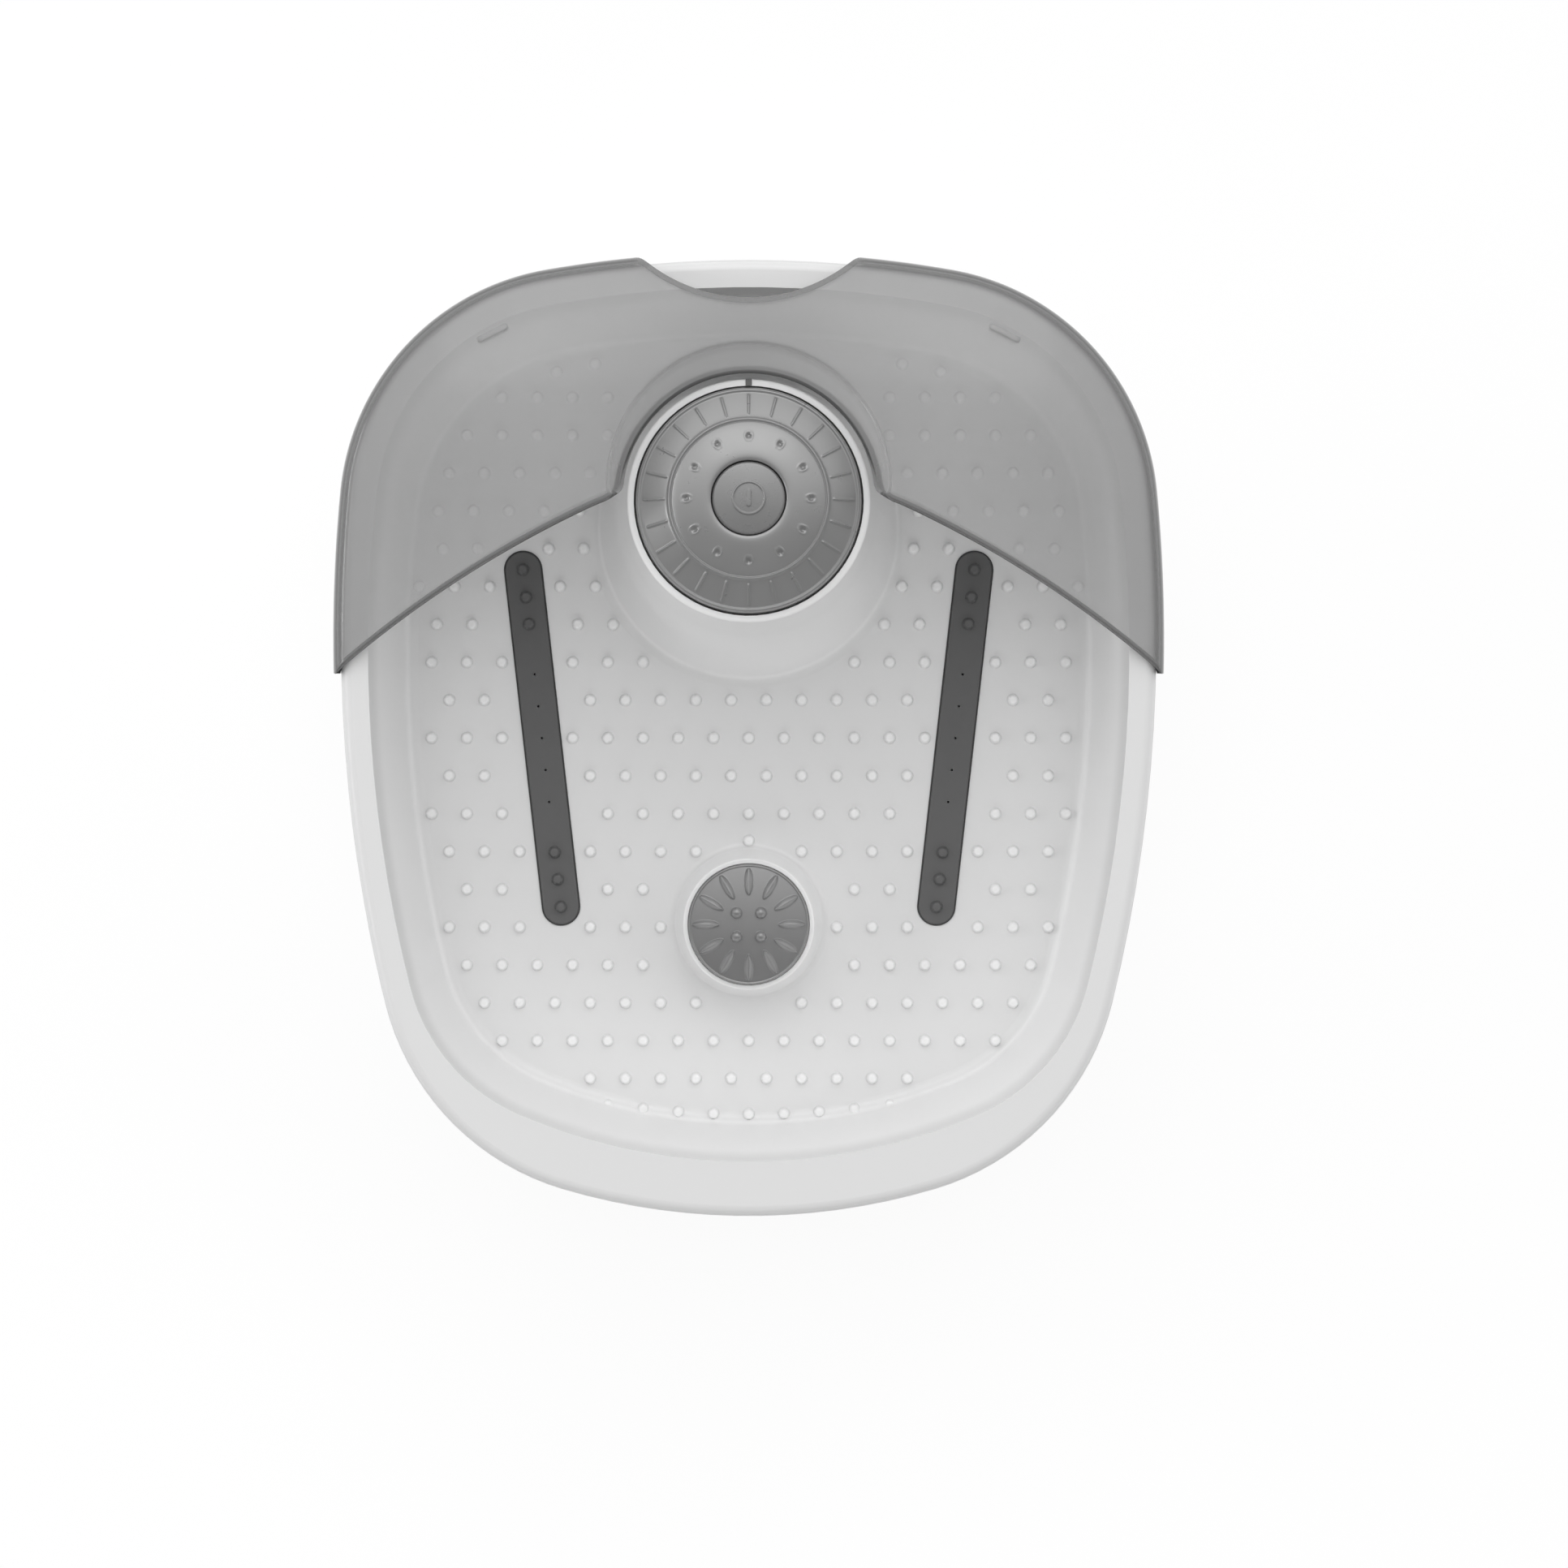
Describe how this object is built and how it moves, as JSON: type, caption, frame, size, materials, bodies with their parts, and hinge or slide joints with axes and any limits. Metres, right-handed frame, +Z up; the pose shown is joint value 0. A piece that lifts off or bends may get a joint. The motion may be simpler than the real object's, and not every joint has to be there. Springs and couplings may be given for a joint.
{
  "type": "foot spa basin",
  "caption": "Oval white foot spa basin with a nubbed floor, translucent toe-end splash guard, raised selector dial with centre button, air strips and a massage disc.",
  "frame": {"origin": "centre of the footprint on the surface that the rubber feet stand on", "axes": "+Z up, +Y towards the toe end with the splash guard, +X to the right of a user whose toes point to +Y"},
  "size_m": [0.3332, 0.3846, 0.1682],
  "materials": {
    "white_shell": "satin",
    "white_base": "fine grain",
    "foot_rubber": "matte",
    "steel": "plain",
    "seal_rubber": "matte",
    "strip_grey": "matte",
    "clear_hose": "smooth",
    "black_plastic": "moulded",
    "board_green": "laminate",
    "marker_grey": "matte",
    "zinc_can": "plated",
    "heater_foil": "foil",
    "coil_copper": "wound",
    "lead_sleeve": "sleeved",
    "smoke_guard": "polished",
    "dial_grey": "satin",
    "natural_plastic": "moulded",
    "button_grey": "satin",
    "disc_grey": "satin"
  },
  "bodies": {
    "root": {"basin": "white_shell", "base_casing": "white_base", "foot_front_left": "foot_rubber", "foot_front_right": "foot_rubber", "foot_rear_left": "foot_rubber", "foot_rear_right": "foot_rubber", "casing_screws": "steel", "cord_gland": "seal_rubber", "bubble_strip_left": "strip_grey", "bubble_strip_right": "strip_grey", "strip_gasket_left": "seal_rubber", "strip_gasket_right": "seal_rubber", "air_hose_left": "clear_hose", "air_hose_right": "clear_hose", "dial_seal": "seal_rubber", "dial_rim_seal": "seal_rubber", "selector_housing": "black_plastic", "selector_screws": "steel", "power_switch": "black_plastic", "control_board": "board_green", "board_components": "black_plastic", "board_screws": "steel", "index_marker": "marker_grey", "motor_can": "zinc_can", "motor_cradle": "black_plastic", "motor_screws": "steel", "heater_pad": "heater_foil", "thermostat": "zinc_can", "pump_frame": "black_plastic", "pump_core": "zinc_can", "pump_coil": "coil_copper", "pump_pivot": "steel", "pump_bellows": "seal_rubber", "pump_valve_box": "black_plastic", "heater_lead": "lead_sleeve", "motor_lead": "lead_sleeve", "button_spring": "steel"},
    "guard": {"splash_guard": "smoke_guard"},
    "dial": {"function_dial": "dial_grey", "selector_shaft": "natural_plastic", "shaft_clip": "steel"},
    "button": {"power_button": "button_grey", "button_plunger": "natural_plastic"},
    "attachment": {"massage_attachment": "disc_grey", "attachment_ring": "seal_rubber"},
    "rotor": {"motor_shaft": "steel", "eccentric_weight": "steel"},
    "pump_lever": {"pump_arm": "natural_plastic", "pump_magnet": "zinc_can"}
  },
  "joints": [
    {"name": "guard_lift", "type": "slide", "parent": "root", "child": "guard", "axis": [0, 0, 1], "range_m": [0, 0.06]},
    {"name": "dial_turn", "type": "hinge", "parent": "root", "child": "dial", "pos_m": [0, 0.0943, 0.15], "axis": [0, 0, 1], "range_deg": [-90, 0]},
    {"name": "button_press", "type": "slide", "parent": "root", "child": "button", "axis": [0, 0, 1], "range_m": [-0.0025, 0], "stiffness_N_per_m": 400, "deforming": ["button_spring"]},
    {"name": "attachment_lift", "type": "slide", "parent": "root", "child": "attachment", "axis": [0, 0, 1], "range_m": [0, 0.04]},
    {"name": "motor_spin", "type": "hinge", "parent": "root", "child": "rotor", "pos_m": [0.026, -0.008, 0.024], "axis": [1, 0, 0], "continuous": true},
    {"name": "pump_swing", "type": "hinge", "parent": "root", "child": "pump_lever", "pos_m": [0.036, 0.095, 0.023], "axis": [0, 0, 1], "range_deg": [-1.2, 1.2], "stiffness_Nm_per_rad": 0.4}
  ]
}
